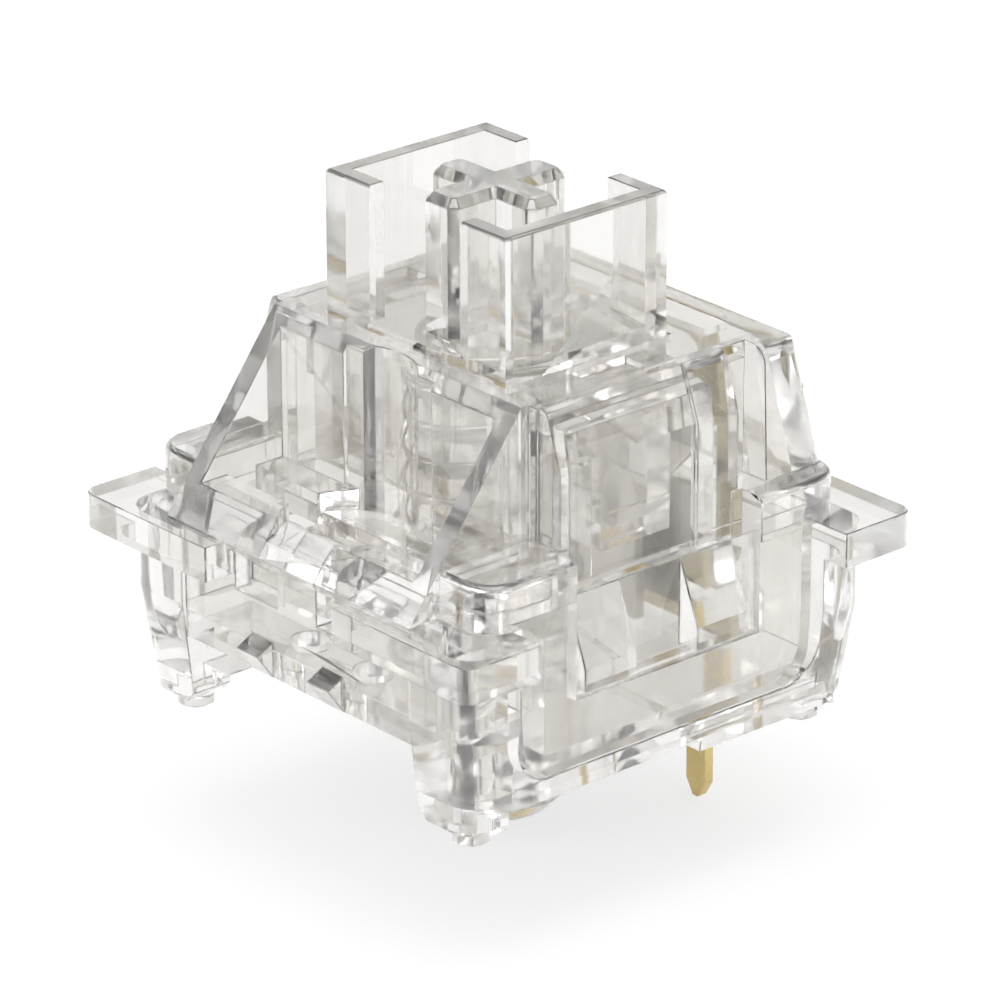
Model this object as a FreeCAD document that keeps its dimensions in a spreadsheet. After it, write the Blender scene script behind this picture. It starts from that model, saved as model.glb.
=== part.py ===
import FreeCAD, Part
import math
import os
import Sketcher

# Clear plate-mounted keyboard switch with a cross stem behind two dust walls.
# Frame: origin on the centre post's axis in the circuit-board plane, +Z up, mm.
# The light window is on the -Y side, the contacts are on the +Y side.

# Driving sizes, each written once
values = {
    # flange and body of the lower housing
    "flange_width": 15.6,
    "flange_thick": 1.0,
    "flange_base": 5.0,
    "flange_corner": 0.45,
    "flange_end": 5.3,
    "flange_gap": 5.1,
    "body_width": 14.0,
    "body_corner": 0.85,
    "apron_inset": 0.15,
    "leg_taper": 0.34,
    "taper_top": 3.5,
    "leg_base": 0.49,
    "leg_side": 4.6,
    "leg_depth": 5.42,
    "leg_chamfer": 0.3,
    "body_base": 0.95,
    "step_drop": 0.32,
    "step_place": 1.2,
    "floor_thick": 0.8,
    "inner_half": 5.35,
    "latch_wall": 0.65,
    "north_wall": 0.8,
    "lamp_floor": 2.55,
    "lamp_floor_thick": 0.6,
    "lamp_room_back": 4.0,
    "lamp_wall": 0.4,
    "apron_thick": 0.52,
    "apron_top": 5.75,
    "notch_inner": 0.8,
    "notch_outer": 2.5,
    "notch_base": 4.6,
    "lead_hole": 1.0,
    "lead_spacing": 2.54,
    "lamp_place": 5.08,
    # plate clips on the front and back walls
    "clip_inner": 1.0,
    "clip_width": 0.87,
    "clip_reach": 0.55,
    "clip_top": 3.58,
    "clip_drop": 0.28,
    # feet and centre post
    "nub_diameter": 1.0,
    "nub_x": 5.64,
    "nub_y": 5.79,
    "post_diameter": 4.0,
    "post_length": 2.73,
    "post_tip": 2.84,
    "post_cone": 0.6,
    "post_end_wall": 0.68,
    "post_relief": 0.7,
    "hub_diameter": 3.7,
    "hub_top": 4.6,
    # snap hooks and the latch legs that close over them
    "hook_inner": 1.05,
    "hook_outer": 2.85,
    "hook_reach": 0.7,
    "hook_lip": 3.55,
    "hook_lip_tall": 0.65,
    "snap_gap": 0.1,
    "panel_half": 5.05,
    "panel_thick": 0.7,
    "panel_base": 1.65,
    "panel_corner": 1.0,
    "panel_gap": 0.05,
    "window_half": 3.2,
    # upper housing
    "top_height": 11.0,
    "top_thick": 0.65,
    "core_half": 5.2,
    "core_front": 3.2,
    "front_wall": 3.75,
    "front_recess": 3.62,
    "recess_half": 1.75,
    "back_top": 5.2,
    "back_foot": 6.45,
    "back_skin": 0.55,
    "wing_half": 5.97,
    "wing_foot": 6.15,
    "wing_front": 4.0,
    "wing_corner": 0.4,
    "wing_shoulder": 0.55,
    "chamber_half": 4.6,
    "tower_half": 3.1,
    "tower_reach": 6.0,
    "tower_shoulder": 9.5,
    "tower_brow": 5.45,
    "tower_skin": 0.6,
    "facet_front": 2.0,
    "facet_back": 1.65,
    "facet_depth": 0.12,
    "boss_inner": 4.95,
    "boss_outer": 6.8,
    "boss_end": 6.25,
    "boss_tall": 1.3,
    "boss_corner": 1.0,
    "boss_round": 0.22,
    "rib_outer": 4.9,
    "rib_thick": 0.6,
    "rib_foot": 7.2,
    "lip_front": 3.45,
    "bar_top": 6.9,
    "bar_back": 5.63,
    "dip_half": 1.12,
    "dip_back": 6.17,
    "dip_top": 6.8,
    "dip_front": 6.91,
    "dip_foot": 6.38,
    "web_base": 5.1,
    "web_thick": 0.55,
    "lens_diameter": 3.4,
    "lens_top": 6.4,
    "lens_step": 4.62,
    "lens_gap": 0.12,
    "ledge_inner": 1.6,
    "ledge_slant": 0.32,
    "ledge_depth": 0.9,
    "roof_slot_half": 3.95,
    "roof_slot_front": 3.7,
    "roof_slot_back": 4.55,
    "dimple_inner": 4.0,
    "dimple_width": 0.85,
    "dimple_half": 0.93,
    "dimple_depth": 0.2,
    # stem
    "stem_top": 15.0,
    "stem_x": 7.08,
    "stem_y": 5.54,
    "stem_wall": 0.5,
    "stem_return": 1.8,
    "stem_slide_gap": 0.08,
    "stem_deck": 11.2,
    "stem_deck_thick": 0.8,
    "stem_base": 7.0,
    "skirt_wall": 0.45,
    "cross_length": 4.05,
    "cross_arm_x": 1.15,
    "cross_arm_y": 1.3,
    "cross_chamfer": 0.22,
    "wall_chamfer": 0.06,
    "travel": 4.0,
    "pole_diameter": 2.9,
    "pole_gap": 0.075,
    "pole_end_gap": 0.1,
    "pole_chamfer": 0.4,
    "rail_reach": 5.2,
    "rail_width": 2.4,
    "rail_base": 6.6,
    "stop_reach": 4.5,
    "stop_width": 4.5,
    "stop_thick": 1.3,
    "stop_gap": 0.05,
    "leg_inner": 1.2,
    "leg_width": 1.0,
    "leg_foot": 5.95,
    "leg_flat": 0.65,
    "cam_gap": 0.03,
    # return spring
    "wire": 0.24,
    "coil_gap": 0.08,
    "coil_turns": 10.0,
    "coil_seat_gap": 0.02,
    # contacts
    "pin_east_x": 2.54,
    "pin_east_y": 5.08,
    "pin_west_x": 3.81,
    "pin_west_y": 2.54,
    "pin_width": 0.73,
    "pin_thick": 0.3,
    "pin_length": 3.3,
    "pin_shoulder": 0.45,
    "pin_tip": 0.2,
    "slot_gap": 0.03,
    "seat_top": 2.9,
    "terminal_half": 3.2,
    "terminal_frame": 0.65,
    "terminal_sill": 4.3,
    "terminal_gap": 0.1,
    "plate_top": 4.2,
    "plate_right": 0.9,
    "side_plate_top": 3.6,
    "arm_half": 0.7,
    "point_margin": 0.3,
    "point_height": 8.0,
    "point_deep": 0.15,
    "point_width": 0.3,
    "point_long": 1.2,
    "leaf_thick": 0.1,
    "leaf_half": 2.3,
    "leaf_bar": 0.8,
    "leaf_root": 2.2,
    "bump_height": 6.35,
    "bump_half": 0.55,
    "contact_gap": 0.02,
    "leg_gap": 0.12,
    "leaf_angle": 3.0,
}


class Size:
    """A length that carries its value and the sheet formula behind it."""

    def __init__(self, value, text):
        self.value = value
        self.text = text

    def __add__(self, other):
        other = sized(other)
        return Size(self.value + other.value, f"({self.text} + {other.text})")

    def __radd__(self, other):
        return sized(other) + self

    def __sub__(self, other):
        other = sized(other)
        return Size(self.value - other.value, f"({self.text} - {other.text})")

    def __rsub__(self, other):
        return sized(other) - self

    def __mul__(self, other):
        other = sized(other)
        return Size(self.value * other.value, f"({self.text} * {other.text})")

    def __rmul__(self, other):
        return sized(other) * self

    def __truediv__(self, other):
        other = sized(other)
        return Size(self.value / other.value, f"({self.text} / {other.text})")

    def __neg__(self):
        return Size(-self.value, f"(0 - {self.text})")


def sized(number):
    """Gives a plain number the same form as a size from the sheet."""
    if isinstance(number, Size):
        return number
    return Size(float(number), f"({float(number)!r})")


doc = FreeCAD.newDocument("keyboard_switch")
sheet = doc.addObject("Spreadsheet::Sheet", "Sizes")


class Sizes:
    """The sheet's cells by name."""


for row, (name, number) in enumerate(values.items(), start=1):
    sheet.set(f"A{row}", name)
    sheet.set(f"B{row}", str(number))
    sheet.setAlias(f"B{row}", name)
    setattr(Sizes, name, Size(number, f"Sizes.{name}"))
doc.recompute()
size = Sizes

PLANES = {"X": "YZ_Plane", "Y": "XZ_Plane", "Z": "XY_Plane"}
NONE = 0
START = 1
END = 2
CENTRE = 3
AXIS_ACROSS = -1
AXIS_UP = -2
OVER = 1.0
WIRE_SIDES = 6


def origin_part(body, role):
    """Finds one of the body's own origin planes or axes."""
    for feature in body.Origin.OriginFeatures:
        if feature.Role == role:
            return feature
    raise ValueError(role)


def sketch_on(body, name, axis, place):
    """Starts a sketch square to an axis, at a place along it."""
    sketch = body.newObject("Sketcher::SketchObject", name + "_outline")
    sketch.AttachmentSupport = [(origin_part(body, PLANES[axis]), "")]
    sketch.MapMode = "FlatFace"
    offset = -sized(place) if axis == "Y" else sized(place)
    sketch.setExpression("AttachmentOffset.Base.z", offset.text)
    return sketch


def pin_coordinate(sketch, kind, geometry, point, coordinate, axis_line):
    """Ties one coordinate of a sketch point to its size."""
    coordinate = sized(coordinate)
    if coordinate.value == 0:
        sketch.addConstraint(Sketcher.Constraint("PointOnObject", geometry, point, axis_line))
        return
    if coordinate.value > 0:
        ends = (-1, START, geometry, point)
    else:
        ends = (geometry, point, -1, START)
    index = sketch.addConstraint(Sketcher.Constraint(kind, *ends, abs(coordinate.value)))
    formula = coordinate if coordinate.value > 0 else -coordinate
    sketch.setExpression(f"Constraints[{index}]", formula.text)


def pin_point(sketch, geometry, point, across, up):
    """Ties a sketch point to its two sizes."""
    pin_coordinate(sketch, "DistanceX", geometry, point, across, AXIS_UP)
    pin_coordinate(sketch, "DistanceY", geometry, point, up, AXIS_ACROSS)


def draw(sketch, outline):
    """Draws a closed outline; a corner with a third value is rounded by it."""
    corners = [[sized(part) for part in corner] for corner in outline]
    count = len(corners)
    spots = [FreeCAD.Vector(corner[0].value, corner[1].value, 0) for corner in corners]
    entries = []
    exits = []
    for index, corner in enumerate(corners):
        spot = spots[index]
        back = (spots[index - 1] - spot).normalize()
        ahead = (spots[(index + 1) % count] - spot).normalize()
        reach = 0.0
        if len(corner) > 2:
            reach = corner[2].value / math.tan(back.getAngle(ahead) / 2)
        entries.append(spot + back * reach)
        exits.append(spot + ahead * reach)
    lines = []
    for index in range(count):
        ahead = entries[(index + 1) % count]
        lines.append(sketch.addGeometry(Part.LineSegment(exits[index], ahead), False))
    for index, corner in enumerate(corners):
        before = lines[index - 1]
        after = lines[index]
        if len(corner) == 2:
            sketch.addConstraint(Sketcher.Constraint("Coincident", before, END, after, START))
            pin_point(sketch, after, START, corner[0], corner[1])
            continue
        spot = spots[index]
        back = (entries[index] - spot).normalize()
        ahead = (exits[index] - spot).normalize()
        half = back.getAngle(ahead) / 2
        middle = spot + (back + ahead).normalize() * (corner[2].value / math.sin(half))
        crown = middle + (spot - middle).normalize() * corner[2].value
        arc = Part.Arc(entries[index], crown, exits[index])
        bend = sketch.addGeometry(arc, False)
        turn = (entries[index] - middle).cross(exits[index] - middle).z
        ends = (START, END) if turn > 0 else (END, START)
        sketch.addConstraint(Sketcher.Constraint("Tangent", before, END, bend, ends[0]))
        sketch.addConstraint(Sketcher.Constraint("Tangent", bend, ends[1], after, START))
        radius = sketch.addConstraint(Sketcher.Constraint("Radius", bend, corner[2].value))
        sketch.setExpression(f"Constraints[{radius}]", corner[2].text)
        mark = sketch.addGeometry(Part.Point(spot), True)
        sketch.addConstraint(Sketcher.Constraint("PointOnObject", mark, START, before))
        sketch.addConstraint(Sketcher.Constraint("PointOnObject", mark, START, after))
        pin_point(sketch, mark, START, corner[0], corner[1])


def draw_circle(sketch, across, up, diameter):
    """Draws a circle about a point."""
    middle = FreeCAD.Vector(sized(across).value, sized(up).value, 0)
    round_line = Part.Circle(middle, FreeCAD.Vector(0, 0, 1), diameter.value / 2)
    circle = sketch.addGeometry(round_line, False)
    pin_point(sketch, circle, CENTRE, across, up)
    index = sketch.addConstraint(Sketcher.Constraint("Diameter", circle, diameter.value))
    sketch.setExpression(f"Constraints[{index}]", diameter.text)


def extrude(body, name, sketch, low, high, cut):
    """Pads or pockets a sketch from its low to its high end."""
    kind = "PartDesign::Pocket" if cut else "PartDesign::Pad"
    feature = body.newObject(kind, name)
    feature.Profile = sketch
    feature.setExpression("Length", (sized(high) - sized(low)).text)
    feature.Reversed = cut
    return feature


def prism(body, name, axis, outline, low, high, cut=False):
    """Adds or cuts a straight block with the given outline, square to an axis."""
    sketch = sketch_on(body, name, axis, high if axis == "Y" else low)
    draw(sketch, outline)
    return extrude(body, name, sketch, low, high, cut)


def disc(body, name, across, up, diameter, low, high, cut=False):
    """Adds or cuts an upright round block."""
    sketch = sketch_on(body, name, "Z", low)
    draw_circle(sketch, across, up, diameter)
    return extrude(body, name, sketch, low, high, cut)


def box_outline(left, right, front, back, corner=None):
    """Four corners of a rectangle, rounded if a radius is given."""
    spots = [(left, front), (right, front), (right, back), (left, back)]
    if corner is None:
        return spots
    return [spot + (corner,) for spot in spots]


def block(body, name, left, right, front, back, low, high, cut=False, corner=None):
    """Adds or cuts an upright rectangular block."""
    outline = box_outline(left, right, front, back, corner)
    return prism(body, name, "Z", outline, low, high, cut)


def spun(body, name, outline, cut=False):
    """Adds or cuts a round form about the body's upright axis."""
    sketch = sketch_on(body, name, "Y", 0)
    draw(sketch, outline)
    feature = body.newObject("PartDesign::Groove" if cut else "PartDesign::Revolution", name)
    feature.Profile = sketch
    feature.ReferenceAxis = (origin_part(body, "Z_Axis"), [""])
    feature.Angle = 360.0
    return feature


def edges_where(shape, test):
    """Names the edges that pass a test."""
    return [f"Edge{index}" for index, edge in enumerate(shape.Edges, start=1) if test(edge)]


def soften(body, name, kind, radius, test):
    """Rounds or chamfers the tip's edges that pass a test."""
    doc.recompute()
    base = body.Tip
    names = edges_where(base.Shape, test)
    if not names:
        raise ValueError(name + " found no edge")
    feature = body.newObject("PartDesign::" + kind, name)
    feature.Base = (base, names)
    feature.setExpression("Radius" if kind == "Fillet" else "Size", radius.text)
    return feature


def near(value, target, slack=0.01):
    return abs(value - sized(target).value) < slack


def level_edge(edge, height):
    """Whether an edge lies flat at a height."""
    box = edge.BoundBox
    return near(box.ZMin, height) and near(box.ZMax, height)


def new_body(label):
    body = doc.addObject("PartDesign::Body", label)
    body.Label = label
    return body


joint_height = size.flange_base + size.flange_thick
body_half = size.body_width / 2
flange_half = size.flange_width / 2
apron_face = body_half - size.apron_inset
wall_face = size.inner_half + size.latch_wall
floor_top = size.body_base + size.floor_thick
bore_diameter = size.pole_diameter + size.pole_gap * 2
bore_base = size.post_end_wall - size.post_length
back_inner = body_half - size.north_wall - size.apron_inset
panel_face = wall_face + size.panel_gap + size.panel_thick
stem_half_x = size.stem_x / 2
stem_half_y = size.stem_y / 2
ceiling = size.top_height - size.top_thick
deck_under = size.stem_deck - size.stem_deck_thick
leaf_front = size.pin_east_y - size.pin_thick / 2 - size.leaf_thick
leaf_back = leaf_front + size.leaf_thick
leaf_swing = (size.point_height - size.leaf_root) * math.sin(math.radians(values["leaf_angle"]))
arm_back = leaf_front - leaf_swing - size.point_deep * 2 - size.contact_gap
cam_face = arm_back - size.pin_thick - size.leg_gap
bump_peak = cam_face + size.cam_gap
terminal_top = ceiling - size.terminal_gap


def lower_housing():
    """Clear moulded base: flange, tapered legs, snap walls, hub and centre post."""
    body = new_body("lower_housing")
    full = box_outline(-body_half, body_half, -body_half, body_half, size.body_corner)
    prism(body, "upper_body", "Z", full, size.taper_top, size.flange_base)
    foot_half = body_half - size.leg_taper
    top = sketch_on(body, "taper_top", "Z", size.taper_top)
    draw(top, full)
    foot = sketch_on(body, "taper_foot", "Z", size.leg_base)
    draw(foot, box_outline(-foot_half, foot_half, -foot_half, foot_half, size.body_corner))
    taper = body.newObject("PartDesign::AdditiveLoft", "taper")
    taper.Profile = top
    taper.Sections = [foot]
    taper.Ruled = True

    edge = flange_half + OVER
    flange = box_outline(-flange_half, flange_half, -flange_half, flange_half, size.flange_corner)
    prism(body, "flange", "Z", flange, size.flange_base, joint_height)

    # under the body only the four legs reach down
    under = size.leg_base - OVER
    block(body, "under_front", -edge, edge, -size.leg_depth, size.step_place, under,
          size.body_base, cut=True)
    step_base = size.body_base - size.step_drop
    block(body, "under_back", -edge, edge, size.step_place, size.leg_depth, under, step_base,
          cut=True)
    block(body, "under_middle", -size.leg_side, size.leg_side, size.leg_depth, edge, under,
          step_base, cut=True)
    block(body, "under_lamp", -size.leg_side, size.leg_side, -edge,
          -size.lamp_room_back - size.lamp_wall, under, size.lamp_floor, cut=True)

    # front apron and back wall stand a little inside the legs
    for side, label in ((-1, "front"), (1, "back")):
        near_face = side * apron_face
        ends = (-edge, near_face) if side < 0 else (near_face, edge)
        block(body, label + "_inset", -size.leg_side, size.leg_side, ends[0], ends[1], under,
              size.flange_base, cut=True)
    half_gap = size.flange_gap / 2
    block(body, "flange_gap_front", -half_gap, half_gap, -edge, -apron_face, size.flange_base,
          joint_height, cut=True)

    # side openings where the latch legs pass the flange and lie against the walls
    room_end = size.flange_end
    room_base = size.panel_base - size.panel_gap
    bend = size.panel_corner + room_end - size.panel_half
    room = [(-room_end, joint_height), (-room_end, room_base, bend), (room_end, room_base, bend),
            (room_end, joint_height)]
    for side, label in ((-1, "west"), (1, "east")):
        ends = (-edge, -wall_face) if side < 0 else (wall_face, edge)
        prism(body, label + "_latch_room", "X", room, ends[0], ends[1], cut=True)
        low = panel_face
        ends = (-edge, -low) if side < 0 else (low, edge)
        block(body, label + "_sill", ends[0], ends[1], -size.flange_end, size.flange_end, under,
              size.panel_base - size.panel_gap, cut=True)

    for side, label in ((-1, "west"), (1, "east")):
        near_x = side * size.leg_side
        far_x = side * (size.leg_side + size.leg_chamfer)
        corner = [(near_x, size.leg_base + size.leg_chamfer), (far_x, size.leg_base),
                  (far_x, under), (near_x, under)]
        prism(body, label + "_leg_chamfers", "Y", corner, -edge, edge, cut=True)

    # inside: main room, lamp room and the wall between them
    back_of_lamp = -size.lamp_room_back + size.lamp_wall
    block(body, "main_room", -size.inner_half, size.inner_half, back_of_lamp, back_inner,
          floor_top, joint_height, cut=True)
    lamp_top = size.lamp_floor + size.lamp_floor_thick
    block(body, "lamp_room", -size.inner_half, size.inner_half,
          -apron_face + size.apron_thick, -size.lamp_room_back, lamp_top, joint_height, cut=True)
    block(body, "divider_top", -size.inner_half, size.inner_half, -size.lamp_room_back,
          back_of_lamp, size.web_base - size.panel_gap, joint_height, cut=True)
    block(body, "apron_lower", -half_gap, half_gap, -apron_face - OVER,
          -apron_face + size.apron_thick, size.apron_top, joint_height, cut=True)
    for side, label in ((-1, "west"), (1, "east")):
        ends = sorted((side * size.notch_inner, side * size.notch_outer), key=lambda s: s.value)
        block(body, label + "_notch", ends[0], ends[1], -apron_face - OVER,
              -apron_face + size.apron_thick, size.notch_base, joint_height, cut=True)
        disc(body, label + "_lead_hole", side * size.lead_spacing / 2, -size.lamp_place,
             size.lead_hole, size.lamp_floor - OVER, lamp_top, cut=True)

    # round feet, hub and centre post
    for side_x, side_y, label in ((-1, -1, "sw"), (1, -1, "se"), (1, 1, "ne"), (-1, 1, "nw")):
        disc(body, "nub_" + label, side_x * size.nub_x, side_y * size.nub_y,
             size.nub_diameter, 0, size.leg_base + size.leg_taper)
    relief = size.post_diameter + size.post_relief * 2
    disc(body, "post_relief", 0, 0, relief, under, size.body_base, cut=True)
    post = size.post_diameter / 2
    cone_start = size.post_cone - size.post_length
    post_end = -size.post_length
    spun(body, "post", [(0, post_end), (size.post_tip / 2, post_end), (post, cone_start),
                        (post, floor_top), (0, floor_top)])
    disc(body, "hub", 0, 0, size.hub_diameter, size.body_base, size.hub_top)
    disc(body, "bore", 0, 0, bore_diameter, bore_base, size.hub_top, cut=True)

    # snap hooks: a long ramp, a short lip and a square under face
    for side, side_label in ((-1, "west"), (1, "east")):
        lip_top = size.hook_lip + size.hook_lip_tall
        tip = wall_face + size.hook_reach
        hook = [(side * size.inner_half, joint_height), (side * wall_face, joint_height),
                (side * tip, lip_top), (side * tip, size.hook_lip),
                (side * size.inner_half, size.hook_lip)]
        for end, end_label in ((-1, "front"), (1, "back")):
            ends = sorted((end * size.hook_inner, end * size.hook_outer), key=lambda s: s.value)
            prism(body, f"hook_{side_label}_{end_label}", "Y", hook, ends[0], ends[1])

    # plate clips: wedges that catch under the mounting plate
    for side, side_label in ((-1, "front"), (1, "back")):
        low = size.lamp_floor
        peak = size.clip_top - size.clip_drop
        wedge = [(side * apron_face, low), (side * (apron_face + size.clip_reach), peak),
                 (side * apron_face, size.clip_top), (side * (apron_face - OVER / 4), peak)]
        for end, end_label in ((-1, "west"), (1, "east")):
            outer = size.clip_inner + size.clip_width
            ends = sorted((end * size.clip_inner, end * outer), key=lambda s: s.value)
            prism(body, f"clip_{side_label}_{end_label}", "X", wedge, ends[0], ends[1])

    # seats and slots for the two stamped contacts
    gap = size.slot_gap
    half_wide = size.pin_width / 2
    half_thick = size.pin_thick / 2
    block(body, "terminal_seat", -size.terminal_half - gap, size.terminal_half + gap,
          size.pin_east_y + half_thick + gap, back_inner + OVER / 4, size.body_base,
          size.seat_top)
    block(body, "east_pin_slot", size.pin_east_x - half_wide - gap,
          size.pin_east_x + half_wide + gap, size.pin_east_y - half_thick - gap,
          size.pin_east_y + half_thick + gap, under, floor_top, cut=True)
    block(body, "west_pin_slot", -size.pin_west_x - half_thick - gap,
          -size.pin_west_x + half_thick + gap, size.pin_west_y - half_wide - gap,
          size.pin_west_y + half_wide + gap, under, floor_top, cut=True)
    return body


def upper_housing():
    """Clear moulded cover: roof, side towers, sloped ribs, bosses and latch legs."""
    body = new_body("upper_housing")
    roof = size.top_height
    tilt = (size.back_foot - size.back_top) / (roof - joint_height)
    base = joint_height + size.snap_gap
    brow = size.tower_brow
    side = size.tower_reach
    tower = [(-side, base), (side, base), (side, size.tower_shoulder, size.boss_corner),
             (brow, roof, size.boss_round), (-brow, roof, size.boss_round),
             (-side, size.tower_shoulder, size.boss_corner)]
    prism(body, "towers", "Y", tower, -size.tower_half, size.tower_half)

    # corner bosses stand on the flange, with a rounded outer corner
    boss_top = joint_height + size.boss_tall
    boss_start = size.tower_half - OVER / 4
    for side_x, side_y, label in ((-1, -1, "sw"), (1, -1, "se"), (1, 1, "ne"), (-1, 1, "nw")):
        inner = side_x * size.boss_inner
        outer = side_x * size.boss_outer
        far = side_y * size.boss_end
        outline = [(inner, side_y * boss_start), (outer, side_y * boss_start),
                   (outer, far, size.boss_corner), (inner, far)]
        prism(body, "boss_" + label, "Z", outline, joint_height, boss_top)

    def boss_rim(edge):
        box = edge.BoundBox
        past = max(abs(box.YMin), abs(box.YMax)) > (size.tower_half + size.boss_round).value
        inner = near(box.XLength, 0) and near(abs(box.XMin), size.boss_inner)
        return level_edge(edge, boss_top) and past and not inner

    soften(body, "boss_rims", "Fillet", size.boss_round, boss_rim)

    core = [(-size.core_front, joint_height), (size.back_foot, joint_height),
            (size.back_top, roof), (-size.core_front, roof)]
    prism(body, "core", "X", core, -size.core_half, size.core_half)

    # the back wing leans in on three sides, with rounded shoulders and back corners
    def wing_section(name, place, half, back):
        sketch = sketch_on(body, name, "Z", place)
        draw(sketch, [(-half, size.wing_front), (half, size.wing_front),
                      (half, back, size.wing_corner), (-half, back, size.wing_corner)])
        return sketch

    wing_foot = wing_section("wing_foot", joint_height, size.wing_foot, size.back_foot)
    wing_head = wing_section("wing_head", roof, size.wing_half, size.back_top)
    wing = body.newObject("PartDesign::AdditiveLoft", "wing")
    wing.Profile = wing_foot
    wing.Sections = [wing_head]
    wing.Ruled = True
    drop = size.wing_shoulder * 2
    lean = (size.wing_foot - size.wing_half) / (roof - joint_height) * drop + size.panel_gap / 2
    for side_x, label in ((-1, "west"), (1, "east")):
        top = side_x * size.wing_half
        far = side_x * (size.wing_foot + OVER)
        shoulder = [(top - side_x * drop, roof + OVER), (far, roof + OVER), (far, roof - drop),
                    (top + side_x * lean, roof - drop), (top, roof, size.wing_shoulder),
                    (top - side_x * drop, roof)]
        prism(body, label + "_wing_shoulder", "Y", shoulder, size.wing_front - OVER / 10,
              size.back_foot + OVER, cut=True)

    # front end: one sloped wedge, later opened up into two ribs, a lip and a bar
    slope = [(OVER / 4 - size.core_front, joint_height), (-size.rib_foot, joint_height),
             (-size.lip_front, roof), (OVER / 4 - size.core_front, roof)]
    prism(body, "front_wedge", "X", slope, -size.rib_outer, size.rib_outer)

    # latch legs hang down both sides, each with a window for the hooks
    inner = wall_face + size.panel_gap
    half = size.panel_half
    foot = half - size.leg_taper / 3
    panel_top = joint_height + size.boss_tall / 2
    panel = [(-half, panel_top), (-half, size.taper_top), (-foot, size.panel_base,
             size.panel_corner), (foot, size.panel_base, size.panel_corner),
             (half, size.taper_top), (half, panel_top)]
    window = box_outline(-size.window_half, size.window_half, size.hook_lip - size.snap_gap,
                         boss_top + OVER)
    for side_x, label in ((-1, "west"), (1, "east")):
        ends = sorted((side_x * inner, side_x * panel_face), key=lambda s: s.value)
        prism(body, label + "_leg", "X", panel, ends[0], ends[1])
        far = side_x * (size.boss_outer + OVER)
        wall = side_x * (size.tower_reach + size.panel_gap / 2)
        ends = sorted((wall, far), key=lambda s: s.value)
        prism(body, label + "_window", "X", window, ends[0], ends[1], cut=True)

    # open the front wedge between the ribs
    rib_inner = size.rib_outer - size.rib_thick
    ahead = -size.rib_foot - OVER
    opening = [(-size.front_wall, roof), (ahead, roof), (ahead, size.bar_top),
               (-size.bar_back, size.bar_top), (-size.bar_back, joint_height - OVER),
               (-size.front_wall, joint_height - OVER)]
    prism(body, "front_opening", "X", opening, -rib_inner, rib_inner, cut=True)
    block(body, "front_recess", -size.recess_half, size.recess_half, -size.bar_back,
          -size.front_recess, joint_height, roof, cut=True)
    for side_x, label in ((-1, "west"), (1, "east")):
        inner = side_x * size.ledge_inner
        outer = side_x * rib_inner
        near_y = -size.front_wall - size.ledge_depth
        far_y = -size.front_wall + OVER / 4
        slant = side_x * size.ledge_slant
        ledge = [(inner, near_y), (outer, near_y), (outer, far_y), (inner - slant, far_y)]
        prism(body, label + "_ledge", "Z", ledge, joint_height, size.bar_top)

    # light lens over the lamp place, held by a thin web between bar and wall
    web_top = size.web_base + size.web_thick
    gap_half = size.flange_gap / 2 - size.panel_gap
    bar_under = size.apron_top + size.panel_gap
    bar_front = size.rib_foot - size.panel_gap
    block(body, "bar_keel", -gap_half, gap_half, -bar_front, -size.bar_back, bar_under,
          joint_height)
    web_front = apron_face - size.apron_thick - size.panel_gap
    block(body, "web_riser", -gap_half, gap_half, -web_front, -size.bar_back, size.web_base,
          joint_height)
    block(body, "web", -gap_half, gap_half, -web_front, -size.core_front + OVER / 4,
          size.web_base, web_top)
    block(body, "web_neck", -gap_half, gap_half, -size.core_front - OVER / 4,
          -size.core_front + OVER / 4, size.web_base, joint_height)
    disc(body, "lens_room", 0, -size.lamp_place, size.lens_diameter + size.lens_gap * 2,
         web_top, roof, cut=True)
    block(body, "dip_room", -size.dip_half, size.dip_half, ahead, -size.bar_back, joint_height,
          size.bar_top, cut=True)
    disc(body, "lens", 0, -size.lamp_place, size.lens_diameter, size.web_base, size.lens_top)
    lens_half = size.lens_diameter / 2
    block(body, "lens_step", -lens_half, lens_half, -size.lamp_place - lens_half,
          -size.lens_step, web_top + size.lens_gap, size.lens_top, cut=True)
    block(body, "lens_apron_room", -lens_half, lens_half, -size.lamp_place - lens_half,
          -web_front, size.web_base, bar_under, cut=True)
    dip = [(-size.dip_back, bar_under), (-size.dip_back, size.dip_top),
           (-size.dip_front, size.dip_foot), (-size.rib_foot, joint_height),
           (-bar_front, bar_under)]
    prism(body, "dip", "X", dip, -size.dip_half, size.dip_half)

    # rooms inside for the stem, its rails and the contacts
    under = joint_height - OVER
    gap = size.stem_slide_gap
    block(body, "stem_room", -size.chamber_half, size.chamber_half, -stem_half_y - gap,
          stem_half_y + gap, under, ceiling, cut=True)
    tower_room = size.tower_reach - size.tower_skin
    tower_roof = size.tower_shoulder + size.top_thick
    block(body, "rail_room", -tower_room, tower_room, size.tower_skin - size.tower_half,
          size.tower_half - size.tower_skin, under, tower_roof, cut=True)
    room_foot = size.back_foot - size.back_skin
    room_top = room_foot - tilt * (ceiling - joint_height)
    chamber = [(stem_half_y, joint_height), (room_foot, joint_height), (room_top, ceiling),
               (stem_half_y, ceiling)]
    prism(body, "contact_room", "X", chamber, -size.chamber_half, size.chamber_half, cut=True)
    half = size.terminal_half + size.slot_gap
    block(body, "terminal_room", -half, half, stem_half_y,
          size.pin_east_y + size.pin_thick / 2 + size.slot_gap, under, ceiling, cut=True)
    block(body, "stem_opening", -stem_half_x - gap, stem_half_x + gap, -stem_half_y - gap,
          stem_half_y + gap, ceiling - OVER, roof, cut=True)
    block(body, "roof_slot", -size.roof_slot_half, size.roof_slot_half, size.roof_slot_front,
          size.roof_slot_back, ceiling - OVER, roof, cut=True)

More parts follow.
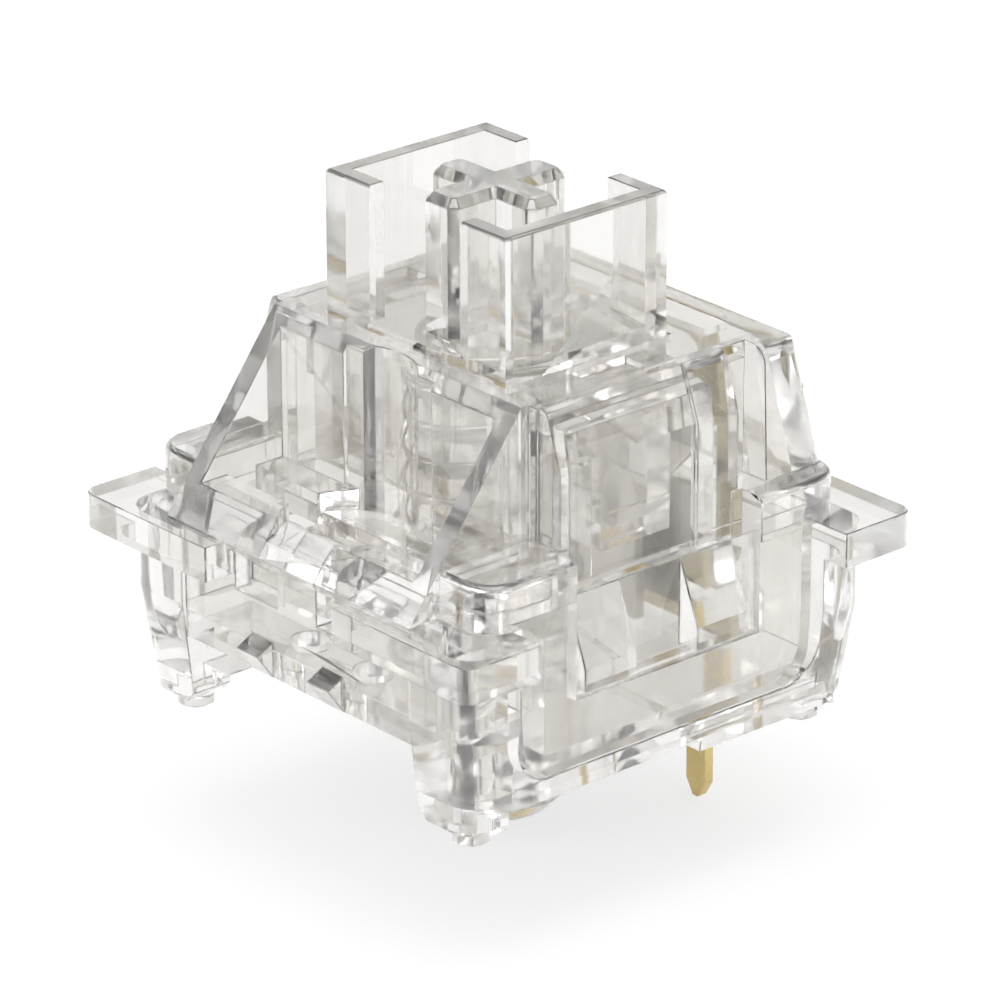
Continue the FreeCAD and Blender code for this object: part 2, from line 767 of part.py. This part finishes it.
    # shallow dimples in the roof and an inset facet on each tower
    for side_x, label in ((-1, "west"), (1, "east")):
        far = size.dimple_inner + size.dimple_width
        ends = sorted((side_x * size.dimple_inner, side_x * far), key=lambda s: s.value)
        block(body, label + "_dimple", ends[0], ends[1], -size.dimple_half, size.dimple_half,
              roof - size.dimple_depth, roof, cut=True)
        wide = size.tower_reach + OVER
        deep = size.facet_depth
        face = side_x * (size.tower_reach - deep)
        facet = [(side_x * wide, base), (face, base), (face, size.tower_shoulder),
                 (side_x * (brow - deep), roof), (side_x * wide, roof)]
        prism(body, label + "_facet", "Y", facet, -size.facet_front, size.facet_back, cut=True)
    return body


def stem():
    """Clear moulded slider: cross, dust walls, skirt, rails, cam legs and pole."""
    body = new_body("stem")
    block(body, "skirt", -stem_half_x, stem_half_x, -stem_half_y, stem_half_y,
          size.stem_base, size.stem_deck)
    inner_x = stem_half_x - size.skirt_wall
    inner_y = stem_half_y - size.skirt_wall
    block(body, "skirt_room", -inner_x, inner_x, -inner_y, inner_y, size.stem_base, deck_under,
          cut=True)
    wall_x = stem_half_x - size.stem_wall
    wall_y = stem_half_y - size.stem_wall
    back = size.stem_return
    for side, label in ((-1, "west"), (1, "east")):
        outline = [(side * stem_half_x, -stem_half_y), (side * stem_half_x, stem_half_y),
                   (side * back, stem_half_y), (side * back, wall_y), (side * wall_x, wall_y),
                   (side * wall_x, -wall_y), (side * back, -wall_y),
                   (side * back, -stem_half_y)]
        prism(body, label + "_dust_wall", "Z", outline, size.stem_deck, size.stem_top)
    arm = size.cross_length / 2
    thin_x = size.cross_arm_x / 2
    thin_y = size.cross_arm_y / 2
    cross = [(arm, -thin_x), (arm, thin_x), (thin_y, thin_x), (thin_y, arm), (-thin_y, arm),
             (-thin_y, thin_x), (-arm, thin_x), (-arm, -thin_x), (-thin_y, -thin_x),
             (-thin_y, -arm), (thin_y, -arm), (thin_y, -thin_x)]
    prism(body, "cross", "Z", cross, size.stem_deck, size.stem_top)

    def on_cross(edge):
        box = edge.BoundBox
        reach = arm.value + 0.01
        return max(abs(box.XMin), abs(box.XMax), abs(box.YMin), abs(box.YMax)) < reach

    def arm_corner(edge):
        box = edge.BoundBox
        end = near(abs(box.XMin), arm) or near(abs(box.YMin), arm)
        upright = near(box.ZMax, size.stem_top) and near(box.ZMin, size.stem_deck)
        return on_cross(edge) and end and upright

    soften(body, "arm_corners", "Chamfer", size.cross_chamfer, arm_corner)

    def cross_rim(edge):
        return on_cross(edge) and level_edge(edge, size.stem_top)

    soften(body, "cross_rim", "Chamfer", size.cross_chamfer, cross_rim)

    def wall_rim(edge):
        box = edge.BoundBox
        far_x = near(abs(box.XMin), stem_half_x) and near(box.XLength, 0)
        far_y = near(abs(box.YMin), stem_half_y) and near(box.YLength, 0)
        return level_edge(edge, size.stem_top) and (far_x or far_y)

    soften(body, "wall_rims", "Chamfer", size.wall_chamfer, wall_rim)

    # the pole runs in the hub's bore and centres the spring
    pole_end = bore_base + size.travel + size.pole_end_gap
    disc(body, "pole", 0, 0, size.pole_diameter, pole_end, deck_under + OVER / 4)

    def pole_rim(edge):
        return level_edge(edge, pole_end)

    soften(body, "pole_rim", "Chamfer", size.pole_chamfer, pole_rim)

    # side rails and the shoulder that stops under the roof
    shoulder_top = ceiling - size.stop_gap
    tower_roof = size.tower_shoulder + size.top_thick
    rail_top = tower_roof - size.stop_gap
    rail_half = size.rail_width / 2
    stop_half = size.stop_width / 2
    for side, label in ((-1, "west"), (1, "east")):
        start = side * (stem_half_x - OVER / 4)
        ends = sorted((start, side * size.stop_reach), key=lambda s: s.value)
        block(body, label + "_stop", ends[0], ends[1], -stop_half, stop_half,
              shoulder_top - size.stop_thick, shoulder_top)
        ends = sorted((start, side * size.rail_reach), key=lambda s: s.value)
        block(body, label + "_rail", ends[0], ends[1], -rail_half, rail_half, size.rail_base,
              rail_top)

    # two cam legs reach back to the contact leaf
    flat_top = size.leg_foot + size.leg_flat
    rise = cam_face - stem_half_y
    cam = [(stem_half_y - size.skirt_wall / 2, flat_top + rise * 1.5),
           (stem_half_y - size.skirt_wall / 2, size.stem_base),
           (stem_half_y, size.leg_foot), (cam_face, size.leg_foot), (cam_face, flat_top),
           (stem_half_y, flat_top + rise * 1.5)]
    for side, label in ((-1, "west"), (1, "east")):
        outer = size.leg_inner + size.leg_width
        ends = sorted((side * size.leg_inner, side * outer), key=lambda s: s.value)
        prism(body, label + "_cam", "X", cam, ends[0], ends[1])
    return body


def return_spring():
    """Coiled wire spring between the floor and the underside of the stem's deck."""
    wire = size.wire.value
    radius = size.hub_diameter.value / 2 + size.coil_gap.value + wire / 2
    low = floor_top.value + size.coil_seat_gap.value + wire / 2
    high = deck_under.value - size.coil_seat_gap.value - wire / 2
    turns = size.coil_turns.value
    helix = Part.makeHelix((high - low) / turns, high - low, radius)
    corners = []
    for step in range(WIRE_SIDES):
        angle = 2 * math.pi * (step + 0.5) / WIRE_SIDES
        across = radius + wire / 2 * math.cos(angle)
        corners.append(FreeCAD.Vector(across, 0, wire / 2 * math.sin(angle)))
    section = Part.makePolygon(corners + corners[:1])
    coil = Part.Wire(helix.Edges).makePipeShell([section], True, True)
    feature = doc.addObject("Part::Feature", "return_spring")
    feature.Label = "return_spring"
    feature.Shape = coil
    feature.Placement = FreeCAD.Placement(FreeCAD.Vector(0, 0, low), FreeCAD.Rotation())
    return feature


def pin_outline(middle, top):
    """Outline of a flat pin: straight sides, then a taper to a blunt tip."""
    half = size.pin_width / 2
    end = -size.pin_length
    shoulder = size.pin_shoulder - size.pin_length
    return [(middle - half, top), (middle - half, shoulder), (middle - size.pin_tip / 2, end),
            (middle + size.pin_tip / 2, end), (middle + half, shoulder), (middle + half, top)]


def fixed_contact():
    """Stamped strip: pin, side plate, back plate and an upright arm."""
    body = new_body("fixed_contact")
    front = arm_back - size.pin_thick
    base = floor_top + size.slot_gap
    left = -size.pin_west_x - size.pin_thick / 2
    arm = size.arm_half
    arm_top = size.point_height + size.point_margin
    outline = [(left, base), (size.plate_right, base), (size.plate_right, size.plate_top),
               (arm, size.plate_top), (arm, arm_top), (-arm, arm_top),
               (-arm, size.plate_top), (left, size.plate_top)]
    prism(body, "back_plate", "Y", outline, front, arm_back)
    right = left + size.pin_thick
    half = size.pin_width / 2
    side = [(size.pin_west_y - half, base), (arm_back, base),
            (arm_back, size.side_plate_top), (size.pin_west_y - half, size.side_plate_top)]
    prism(body, "side_plate", "X", side, left, right)
    prism(body, "pin", "X", pin_outline(size.pin_west_y, base + OVER / 4), left, right)
    return body


def fixed_point():
    """Short gold bar on the arm, lying across the leaf's bar."""
    body = new_body("fixed_point")
    half = size.point_width / 2
    back = arm_back
    height = size.point_height
    outline = [(back, height - half), (back + size.point_deep, height - half / 3),
               (back + size.point_deep, height + half / 3), (back, height + half)]
    prism(body, "bar", "X", outline, -size.point_long / 2, size.point_long / 2)
    return body


def leaf_terminal():
    """Stamped frame that backs the leaf up to the roof and ends in the east pin."""
    body = new_body("leaf_terminal")
    front = size.pin_east_y - size.pin_thick / 2
    back = size.pin_east_y + size.pin_thick / 2
    base = floor_top + size.slot_gap
    half = size.terminal_half
    plate = box_outline(-half, half, base, terminal_top)
    prism(body, "plate", "Y", plate, front, back)
    inner = half - size.terminal_frame
    window = box_outline(-inner, inner, size.terminal_sill, terminal_top - size.terminal_frame,
                         size.terminal_frame)
    prism(body, "plate_window", "Y", window, front, back, cut=True)
    prism(body, "pin", "Y", pin_outline(size.pin_east_x, base + OVER / 4), front, back)
    return body


def contact_leaf():
    """Thin spring leaf: root strip, two legs with cam bumps and a top bar."""
    body = new_body("contact_leaf")
    half = size.leaf_half
    top = size.point_height + size.leaf_bar / 2
    outline = box_outline(-half, half, size.leaf_root, top)
    prism(body, "strip", "Y", outline, leaf_front, leaf_back)
    window = box_outline(-size.leg_inner, size.leg_inner, size.seat_top, top - size.leaf_bar)
    prism(body, "strip_window", "Y", window, leaf_front, leaf_back, cut=True)
    low = size.bump_height - size.bump_half
    high = size.bump_height + size.bump_half
    thick = size.leaf_thick
    bend = [(leaf_front, low), (bump_peak, size.bump_height), (leaf_front, high),
            (leaf_back, high - thick), (bump_peak + thick * 2, size.bump_height),
            (leaf_back, low + thick)]
    for side, label in ((-1, "west"), (1, "east")):
        outer = size.leg_inner + size.leg_width
        ends = sorted((side * size.leg_inner, side * outer), key=lambda s: s.value)
        cut = box_outline(ends[0], ends[1], low + thick, high - thick)
        prism(body, label + "_bump_room", "Y", cut, leaf_front, leaf_back, cut=True)
        prism(body, label + "_bump", "X", bend, ends[0], ends[1])
    return body


def leaf_point():
    """Short upright gold bar on the leaf, facing the fixed bar."""
    body = new_body("leaf_point")
    half = size.point_width / 2
    outline = [(-half, leaf_front), (-half / 3, leaf_front - size.point_deep),
               (half / 3, leaf_front - size.point_deep), (half, leaf_front)]
    reach = size.leaf_bar / 2 - size.leaf_thick
    prism(body, "bar", "Z", outline, size.point_height - reach, size.point_height + reach)
    return body


pieces = [lower_housing(), upper_housing(), stem(), return_spring(), fixed_contact(),
          fixed_point(), leaf_terminal(), contact_leaf(), leaf_point()]
doc.recompute()

# every object must be sound, and each cut or added block must change its body
os.makedirs("parts", exist_ok=True)
for thing in doc.Objects:
    if "Invalid" in thing.State or "Error" in thing.State:
        raise RuntimeError(thing.Label + " failed")
for piece in pieces:
    if piece.Shape.isNull() or not piece.Shape.isValid():
        raise RuntimeError(piece.Label + " has no sound shape")
    if len(piece.Shape.Solids) != 1:
        raise RuntimeError(f"{piece.Label} is {len(piece.Shape.Solids)} solids")
    volume = 0.0
    for feature in getattr(piece, "Group", []):
        if not feature.isDerivedFrom("PartDesign::Feature"):
            continue
        change = feature.Shape.Volume - volume
        volume = feature.Shape.Volume
        cuts = ("PartDesign::Pocket", "PartDesign::Groove", "PartDesign::Chamfer")
        if feature.TypeId in cuts and change > -1e-6:
            raise RuntimeError(feature.Label + " cuts nothing")
        if feature.TypeId in ("PartDesign::Pad", "PartDesign::Revolution") and change < 1e-6:
            raise RuntimeError(feature.Label + " adds nothing")
    box = piece.Shape.BoundBox
    print(piece.Label, "volume", round(piece.Shape.Volume, 2), "z", round(box.ZMin, 2),
          round(box.ZMax, 2))
    piece.Shape.exportStep(f"parts/{piece.Label}.step")
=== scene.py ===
import math

import bmesh
import bpy
from mathutils import Matrix, Vector


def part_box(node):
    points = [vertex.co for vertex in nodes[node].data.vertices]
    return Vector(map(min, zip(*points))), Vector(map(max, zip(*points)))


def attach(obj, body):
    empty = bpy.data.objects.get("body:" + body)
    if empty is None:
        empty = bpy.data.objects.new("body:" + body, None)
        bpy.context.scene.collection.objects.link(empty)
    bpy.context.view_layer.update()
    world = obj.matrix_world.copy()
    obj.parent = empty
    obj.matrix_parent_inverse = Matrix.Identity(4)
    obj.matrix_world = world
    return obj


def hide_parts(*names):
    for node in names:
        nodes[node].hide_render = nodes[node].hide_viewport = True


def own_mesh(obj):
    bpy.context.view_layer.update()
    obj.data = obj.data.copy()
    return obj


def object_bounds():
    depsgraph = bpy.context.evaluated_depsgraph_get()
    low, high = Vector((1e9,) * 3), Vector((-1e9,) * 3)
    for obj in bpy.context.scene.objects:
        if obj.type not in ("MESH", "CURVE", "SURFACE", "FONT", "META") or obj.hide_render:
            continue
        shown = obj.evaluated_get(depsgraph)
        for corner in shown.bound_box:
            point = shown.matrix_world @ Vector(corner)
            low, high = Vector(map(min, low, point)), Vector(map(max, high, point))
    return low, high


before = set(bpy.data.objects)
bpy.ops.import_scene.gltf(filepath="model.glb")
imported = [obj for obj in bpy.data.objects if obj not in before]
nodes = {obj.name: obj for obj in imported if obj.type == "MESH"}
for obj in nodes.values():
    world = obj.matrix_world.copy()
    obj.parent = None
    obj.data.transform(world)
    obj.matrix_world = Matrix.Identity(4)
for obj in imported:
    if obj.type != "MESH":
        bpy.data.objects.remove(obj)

cad_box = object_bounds()

# ------------------------------------------------------------------ lower housing
# Base moulded from clear polycarbonate in a polished tool: flange, four legs,
# snap hooks, hub and centre post. It snaps into a plate from above. Its shape is the
# CAD's, with a small chamfer along each edge. The chamfer is tinted dark grey, which is
# painted shade that draws a thin grey line along each edge.
MM = 0.001


class Field:
    """A shader socket that takes part in Python expressions."""

    def __init__(self, finish, socket):
        self.finish = finish
        self.socket = socket

    def math(self, operation, first, second):
        step = self.finish.node("ShaderNodeMath", {"operation": operation}, {0: first, 1: second})
        return Field(self.finish, step.outputs[0])

    def __add__(self, other):
        return self.math("ADD", self, other)

    def __radd__(self, other):
        return self.math("ADD", other, self)

    def __sub__(self, other):
        return self.math("SUBTRACT", self, other)

    def __rsub__(self, other):
        return self.math("SUBTRACT", other, self)

    def __mul__(self, other):
        return self.math("MULTIPLY", self, other)

    def __rmul__(self, other):
        return self.math("MULTIPLY", other, self)


class Finish:
    """One surface finish and the nodes that make it."""

    def __init__(self, name):
        self.material = bpy.data.materials.new(name)
        self.material.use_nodes = True
        self.tree = self.material.node_tree
        self.tree.nodes.clear()

    def node(self, kind, settings, sockets):
        """Any node, from its type, its settings and its inputs."""
        made = self.tree.nodes.new(kind)
        for name, value in settings.items():
            if name == "stops":
                ramp = made.color_ramp
                while len(ramp.elements) < len(value):
                    ramp.elements.new(0.5)
                for stop, (place, colour) in zip(ramp.elements, value):
                    stop.position = place
                    stop.color = (*colour, 1.0)
            else:
                setattr(made, name, value)
        for name, value in sockets.items():
            if isinstance(value, Field):
                self.tree.links.new(value.socket, made.inputs[name])
            else:
                made.inputs[name].default_value = value
        return made

    def out(self, kind, settings, sockets, output=0):
        return Field(self, self.node(kind, settings, sockets).outputs[output])

    def place(self):
        return self.out("ShaderNodeTexCoord", {}, {}, "Object")

    def noise(self, scale, detail=3.0, rough=0.5, where=None):
        where = where or self.place()
        sockets = {"Vector": where, "Scale": scale, "Detail": detail, "Roughness": rough}
        return self.out("ShaderNodeTexNoise", {}, sockets, "Fac")

    def between(self, share, low, high):
        settings = {"data_type": "RGBA"}
        sockets = {0: share, 6: (*low, 1.0), 7: (*high, 1.0)}
        return self.out("ShaderNodeMix", settings, sockets, 2)

    def relief(self, height, depth, normal):
        sockets = {"Height": height, "Distance": depth, "Strength": 1.0, "Normal": normal}
        return self.out("ShaderNodeBump", {}, sockets)

    def rounded(self, radius):
        """Normals that turn over each edge as if it had a radius."""
        return self.out("ShaderNodeBevel", {"samples": 6}, {"Radius": radius})

    def close(self, shader):
        self.node("ShaderNodeOutputMaterial", {}, {"Surface": shader})
        return self.material


def clear_plastic(name, tint, ripple, haze):
    """Polished clear polycarbonate with the faint waves of a moulded face."""
    waves_per_metre = 260.0
    specks_per_metre = 5200.0
    flow_shade = 0.985
    speck_haze = 0.03
    finish = Finish(name)
    flow = finish.noise(waves_per_metre, 0.0)
    specks = finish.noise(specks_per_metre, 0.0)
    colour = finish.between(flow, [part * flow_shade for part in tint], tint)
    rough = haze + speck_haze * specks * flow
    facing = finish.out("ShaderNodeNewGeometry", {}, {}, "Normal")
    normal = finish.relief(flow, ripple, facing)
    return finish.close(finish.out("ShaderNodeBsdfPrincipled", {}, {
        "Base Color": colour, "Roughness": rough, "IOR": 1.49, "Transmission Weight": 1.0,
        "Coat Weight": 1.0, "Coat Roughness": 0.02, "Normal": normal}))


def eased(name, node, body, radius, above, broad, edge_shade_finish):
    """A node's shape with a small chamfer on its edges above a height.

    The faces keep the broad finish. The chamfers get the second finish, whose darker tint is
    painted shade along the edges.
    """
    corner_turn = math.radians(28)
    crease_turn = math.radians(9)
    piece = bpy.data.objects.new(name, bpy.data.meshes.new(name))
    bpy.context.scene.collection.objects.link(piece)
    shape = bmesh.new()
    shape.from_mesh(nodes[node].data)
    bmesh.ops.remove_doubles(shape, verts=shape.verts, dist=1e-4 * MM)
    weight = shape.edges.layers.float.new("bevel_weight_edge")
    for edge in shape.edges:
        turn = edge.calc_face_angle(0.0) if edge.is_manifold else 0.0
        if turn > corner_turn and min(corner.co.z for corner in edge.verts) > above:
            edge[weight] = 1.0
    shape.to_mesh(piece.data)
    shape.free()
    for face in piece.data.polygons:
        face.use_smooth = True
    piece.data.materials.append(broad)
    piece.data.materials.append(edge_shade_finish)
    ease = piece.modifiers.new("ease", "BEVEL")
    ease.material = 1
    ease.limit_method = "WEIGHT"
    ease.width = radius
    ease.segments = 1
    ease.use_clamp_overlap = False
    final = piece.evaluated_get(bpy.context.evaluated_depsgraph_get())
    done = bpy.data.meshes.new_from_object(final)
    piece.modifiers.clear()
    piece.data = done
    done.set_sharp_from_angle(angle=crease_turn)
    flat = piece.modifiers.new("flat", "WEIGHTED_NORMAL")
    flat.keep_sharp = True
    flat.weight = 100
    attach(piece, body)
    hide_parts(node)
    return piece


# The dark grey tint of the chamfer finish is painted shade, a thin dark line along each edge of
# the clear plastic.
painted_edge_shade_plastic = clear_plastic("clear_plastic_painted_edge_shade", (0.34, 0.33, 0.315), 0.004 * MM, 0.16)
housing_tint = (0.90, 0.89, 0.873)
base_plastic = clear_plastic("clear_base_plastic", housing_tint, 0.01 * MM, 0.05)
base_chamfer = 0.03 * MM
base_from = -0.5 * MM
eased("clear_base", "lower_housing", "housing", base_chamfer, base_from, base_plastic,
      painted_edge_shade_plastic)

# ------------------------------------------------------------------ upper housing
# Cover moulded from the same clear plastic in one piece: roof, side towers, front
# ribs, corner bosses, light lens and the two latch legs that snap over the base. It
# sits on the base with a thin film of air, which is what makes the seam show.
film = 0.02 * MM
cover_plastic = clear_plastic("clear_cover_plastic", housing_tint, 0.01 * MM, 0.05)
chamfer = 0.025 * MM
cover_from = 5.0 * MM
cover = eased("clear_cover", "upper_housing", "housing", chamfer, cover_from, cover_plastic,
              painted_edge_shade_plastic)
cover.data.transform(Matrix.Translation((0, 0, film)))

# ------------------------------------------------------------------ stem
# Slider moulded from clear plastic: cross for the key cap between two dust walls,
# skirt, side rails, two cam legs and the pole that runs in the hub.
stem_plastic = clear_plastic("clear_stem_plastic", (0.885, 0.876, 0.86), 0.008 * MM, 0.05)
stem_from = 11.2 * MM
eased("clear_stem", "stem", "slider", chamfer, stem_from, stem_plastic, painted_edge_shade_plastic)

# ------------------------------------------------------------------ return spring
# Compression spring wound from bright stainless wire, with closed end turns. It
# stands round the hub and its upper end carries the stem, so the stroke shortens it.


def tube(name, path, radius, sides):
    """A round wire that follows a path."""
    verts = []
    faces = []
    for index, spot in enumerate(path):
        before = path[max(index - 1, 0)]
        after = path[min(index + 1, len(path) - 1)]
        along = (after - before).normalized()
        outward = Vector((spot.x, spot.y, 0)).normalized()
        up = along.cross(outward).normalized()
        outward = up.cross(along).normalized()
        for step in range(sides):
            angle = 2 * math.pi * step / sides
            verts.append(spot + radius * (math.cos(angle) * outward + math.sin(angle) * up))
    for index in range(len(path) - 1):
        for step in range(sides):
            low = index * sides
            turn = (step + 1) % sides
            faces.append((low + step, low + turn, low + sides + turn, low + sides + step))
    faces.append(tuple(range(sides)))
    faces.append(tuple(len(verts) - 1 - step for step in range(sides)))
    mesh = bpy.data.meshes.new(name)
    mesh.from_pydata(verts, [], faces)
    mesh.validate()
    mesh.shade_smooth()
    piece = bpy.data.objects.new(name, mesh)
    bpy.context.scene.collection.objects.link(piece)
    return piece


spring_low, spring_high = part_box("return_spring")
wire = 0.24 * MM
coil_radius = (spring_high.x - spring_low.x - wire) / 2
turns = 10.0
closed = 1.15
slack = 1.02
steps_per_turn = 30
sides = 12
wire_share = 0.97
coil_path = []
bottom = spring_low.z + wire / 2
top = spring_high.z - wire / 2
open_pitch = (top - bottom - 2 * closed * wire * slack) / (turns - 2 * closed)
for step in range(int(turns * steps_per_turn) + 1):
    turn = step / steps_per_turn
    height = bottom + min(turn, closed) * wire * slack
    height += max(0.0, min(turn, turns - closed) - closed) * open_pitch
    height += max(0.0, turn - turns + closed) * wire * slack
    angle = 2 * math.pi * turn
    coil_path.append(Vector((coil_radius * math.cos(angle), coil_radius * math.sin(angle),
                             height)))
coil = tube("spring_coil", coil_path, wire / 2 * wire_share, sides)

marks_per_metre = 2400.0
steel = Finish("spring_wire")
drawn = steel.noise(marks_per_metre, 3.0)
colour = steel.between(drawn, (0.60, 0.60, 0.59), (0.74, 0.735, 0.72))
normal = steel.relief(drawn, 0.002 * MM, steel.out("ShaderNodeNewGeometry", {}, {}, "Normal"))
coil.data.materials.append(steel.close(steel.out("ShaderNodeBsdfPrincipled", {}, {
    "Base Color": colour, "Metallic": 1.0, "Roughness": 0.16 + 0.12 * drawn,
    "Normal": normal})))
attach(coil, "housing")
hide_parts("return_spring")
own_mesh(coil)

# ------------------------------------------------------------------ contacts
# Stamped from copper alloy sheet. The leaf terminal is plated gold on its pin and its
# upper end and is pale alloy between them, the fixed contact has a gold pin and grey
# nickel above it, the leaf is grey nickel, and the two small points are gold bars.


def dress(name, material):
    """Gives a CAD node its finish."""
    slots = nodes[name].data.materials
    slots.clear()
    slots.append(material)


def plated(name, low, high, rough, grain, bare=None):
    """Plated rolled strip, with fine rolling lines and rounded sheared edges.

    Where a bare colour is given, only the pin and the upper end are plated.
    """
    lines_per_metre = 9000.0
    patches_per_metre = 420.0
    patch_rough = 0.14
    sheared_radius = 0.05 * MM
    rolling = (1.0, 1.0, 0.08)
    line_shade = 0.9
    pin_end = (0.2 * MM, 0.9 * MM)
    upper_end = (9.7 * MM, 9.3 * MM)
    finish = Finish(name)
    place = finish.place()
    stretch = finish.out("ShaderNodeMapping", {}, {"Vector": place, "Scale": rolling})
    lines = finish.noise(lines_per_metre, 3.0, 0.6, stretch)
    patches = finish.noise(patches_per_metre, 3.0, 0.5, place)
    colour = finish.between(0.5 * patches + 0.5 * lines, low, high)
    if bare:
        height = finish.out("ShaderNodeSeparateXYZ", {}, {"Vector": place}, "Z")
        over = finish.out("ShaderNodeMapRange", {}, {
            "Value": height, "From Min": pin_end[0], "From Max": pin_end[1]})
        under = finish.out("ShaderNodeMapRange", {}, {
            "Value": height, "From Min": upper_end[0], "From Max": upper_end[1]})
        strip = finish.between(lines, [part * line_shade for part in bare], bare)
        colour = finish.out("ShaderNodeMix", {"data_type": "RGBA"}, {
            0: over * under, 6: colour, 7: strip}, 2)
    normal = finish.relief(lines, grain, finish.rounded(sheared_radius))
    return finish.close(finish.out("ShaderNodeBsdfPrincipled", {}, {
        "Base Color": colour, "Metallic": 1.0, "Roughness": rough + patch_rough * patches,
        "Normal": normal}))


deep_gold = (0.70, 0.53, 0.22)
pale_gold = (0.88, 0.72, 0.37)
grain = 0.0015 * MM
dress("leaf_terminal", plated("gold_plate", deep_gold, pale_gold, 0.20, grain,
                              (0.72, 0.655, 0.50)))
dress("fixed_contact", plated("gold_and_nickel", deep_gold, pale_gold, 0.20, grain,
                              (0.62, 0.60, 0.565)))
dress("contact_leaf", plated("nickel_plate", (0.52, 0.505, 0.48), (0.66, 0.645, 0.61), 0.22,
                             0.001 * MM))
point_gold = plated("point_gold", (0.84, 0.66, 0.30), (0.97, 0.80, 0.42), 0.12, 0.0008 * MM)
for name in ("fixed_point", "leaf_point"):
    dress(name, point_gold)

# ------------------------------------------------------------------ floor and light
# A plain pale floor under the pins, a soft pale studio round it, and three soft
# boxes: a broad one above, one at the front left and a weak one at the right.
floor_width = 4.0
bpy.ops.mesh.primitive_plane_add(size=floor_width, location=(0, 0, cad_box[0].z))
floor = bpy.context.object
floor.name = "floor"
paper = Finish("pale_floor")
white_share = 0.7
mirror_share = 0.4
glass_share = 0.7
sight = paper.node("ShaderNodeLightPath", {}, {})
seen = Field(paper, sight.outputs["Is Camera Ray"])
seen = seen + mirror_share * Field(paper, sight.outputs["Is Glossy Ray"])
seen = seen + glass_share * Field(paper, sight.outputs["Is Transmission Ray"])
shade = paper.out("ShaderNodeBsdfDiffuse", {}, {"Color": (0.93, 0.93, 0.93, 1.0)})
glow = paper.out("ShaderNodeEmission", {}, {"Color": (1.0, 1.0, 1.0, 1.0), "Strength": 1.0})
floor.data.materials.append(paper.close(paper.out("ShaderNodeMixShader", {}, {
    0: white_share * seen, 1: shade, 2: glow})))


class Studio(Finish):
    """The studio round the object."""

    def __init__(self):
        self.material = bpy.data.worlds.new("studio")
        self.material.use_nodes = True
        self.tree = self.material.node_tree
        self.tree.nodes.clear()
        bpy.context.scene.world = self.material


studio = Studio()
way = studio.node("ShaderNodeSeparateXYZ", {}, {
    0: studio.out("ShaderNodeTexCoord", {}, {}, "Generated")})
rise = Field(studio, way.outputs["Z"])
walls = studio.out("ShaderNodeValToRGB", {"stops": [
    (0.0, (0.84, 0.832, 0.818)), (0.40, (0.54, 0.53, 0.513)), (0.56, (0.74, 0.732, 0.718)),
    (0.80, (1.0, 1.0, 0.99))]}, {0: 0.5 * rise + 0.5})
around = studio.out("ShaderNodeBackground", {}, {"Color": walls, "Strength": 0.95})
white = studio.out("ShaderNodeBackground", {}, {"Color": (1.0, 1.0, 1.0, 1.0), "Strength": 1.0})
camera_ray = studio.out("ShaderNodeLightPath", {}, {}, "Is Camera Ray")
mixed = studio.out("ShaderNodeMixShader", {}, {0: camera_ray, 1: around, 2: white})
studio.node("ShaderNodeOutputWorld", {}, {"Surface": mixed})


def soft_box(name, spot, aim, width, power):
    """A square soft box that faces a point."""
    lamp = bpy.data.lights.new(name, "AREA")
    lamp.size = width
    lamp.energy = power
    light = bpy.data.objects.new(name, lamp)
    bpy.context.scene.collection.objects.link(light)
    light.location = spot
    light.rotation_euler = (Vector(aim) - Vector(spot)).to_track_quat("-Z", "Y").to_euler()


middle = (0, 0, 6 * MM)
soft_box("soft_box_above", (0.02, -0.02, 0.34), middle, 0.24, 0.5)
soft_box("soft_box_left", (-0.16, -0.28, 0.14), middle, 0.20, 0.35)
soft_box("soft_box_right", (0.30, 0.04, 0.10), middle, 0.16, 0.2)
bpy.context.scene.world.cycles.sampling_method = "NONE"

# ------------------------------------------------------------------ camera
# The photograph looks down at the corner between the front and the east side,
# through a long lens; the camera's place was fitted to corners of known size. The
# light passes many clear walls, so the bounces are many too.
toward = Vector((0.69365, -0.60616, 0.38914)).normalized()
across = Vector((0.65802, 0.75300, 0.0)).normalized()
upward = toward.cross(across)
roll = math.radians(0.1281)
right = math.cos(roll) * across - math.sin(roll) * upward
up = math.sin(roll) * across + math.cos(roll) * upward
distance = 163.46
aside = 0.0959
below = 0.0113
spot = Vector((0, 0, 6.0)) + distance * toward + aside * right - below * up
focal_pixels = 6191.3
frame_pixels = 1000
lens = bpy.data.cameras.new("camera")
lens.sensor_width = 36.0
lens.lens = focal_pixels * lens.sensor_width / frame_pixels
lens.clip_start = 1.0 * MM
camera = bpy.data.objects.new("camera", lens)
bpy.context.scene.collection.objects.link(camera)
turned = Matrix((right, up, toward)).transposed().to_4x4()
turned.translation = spot * MM
camera.matrix_world = turned
bpy.context.scene.camera = camera
bpy.context.scene.view_settings.view_transform = "Standard"
cycles = bpy.context.scene.cycles
bounces = 28
cycles.transmission_bounces = bounces
cycles.glossy_bounces = bounces
cycles.transparent_max_bounces = 16
cycles.max_bounces = bounces
